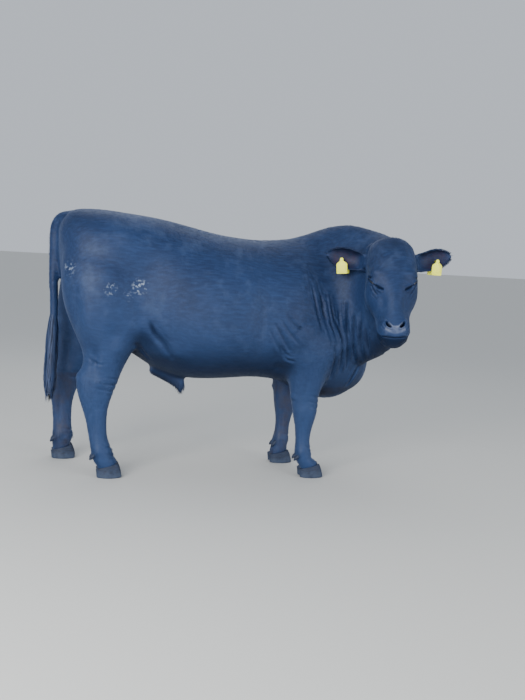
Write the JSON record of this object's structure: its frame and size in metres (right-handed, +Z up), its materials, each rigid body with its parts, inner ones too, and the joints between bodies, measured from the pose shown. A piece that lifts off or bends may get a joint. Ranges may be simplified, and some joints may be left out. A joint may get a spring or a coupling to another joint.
{
  "type": "angus bull",
  "caption": "Still, life-size museum-type model of a polled black Angus bull standing with its head turned to its right, ear tags in both ears.",
  "frame": {"origin": "on the floor, under the middle of the bounding box", "axes": "+X from the tail towards the chest, +Y to the bull's left, +Z up"},
  "size_m": [1.9584, 0.9374, 1.2977],
  "materials": {
    "black_coat": "short sleek black hair, satin",
    "switch_hair": "long black hair",
    "wet_eye": "wet gloss",
    "tag_plastic": "satin moulded",
    "hoof_horn": "dull horn with dried mud"
  },
  "bodies": {
    "root": {"torso": "black_coat", "neck": "black_coat", "head": "black_coat", "ear_right": "black_coat", "ear_left": "black_coat", "eye_right": "wet_eye", "eye_left": "wet_eye", "tag_right_front": "tag_plastic", "tag_right_back": "tag_plastic", "tag_left_front": "tag_plastic", "tag_left_back": "tag_plastic", "tail": "black_coat", "tail_switch": "switch_hair", "scrotum": "black_coat", "leg_fore_right": "black_coat", "leg_fore_left": "black_coat", "leg_hind_right": "black_coat", "leg_hind_left": "black_coat", "claw_fore_right_right": "hoof_horn", "claw_fore_right_left": "hoof_horn", "claw_fore_left_right": "hoof_horn", "claw_fore_left_left": "hoof_horn", "claw_hind_right_right": "hoof_horn", "claw_hind_right_left": "hoof_horn", "claw_hind_left_right": "hoof_horn", "claw_hind_left_left": "hoof_horn"}
  },
  "joints": []
}
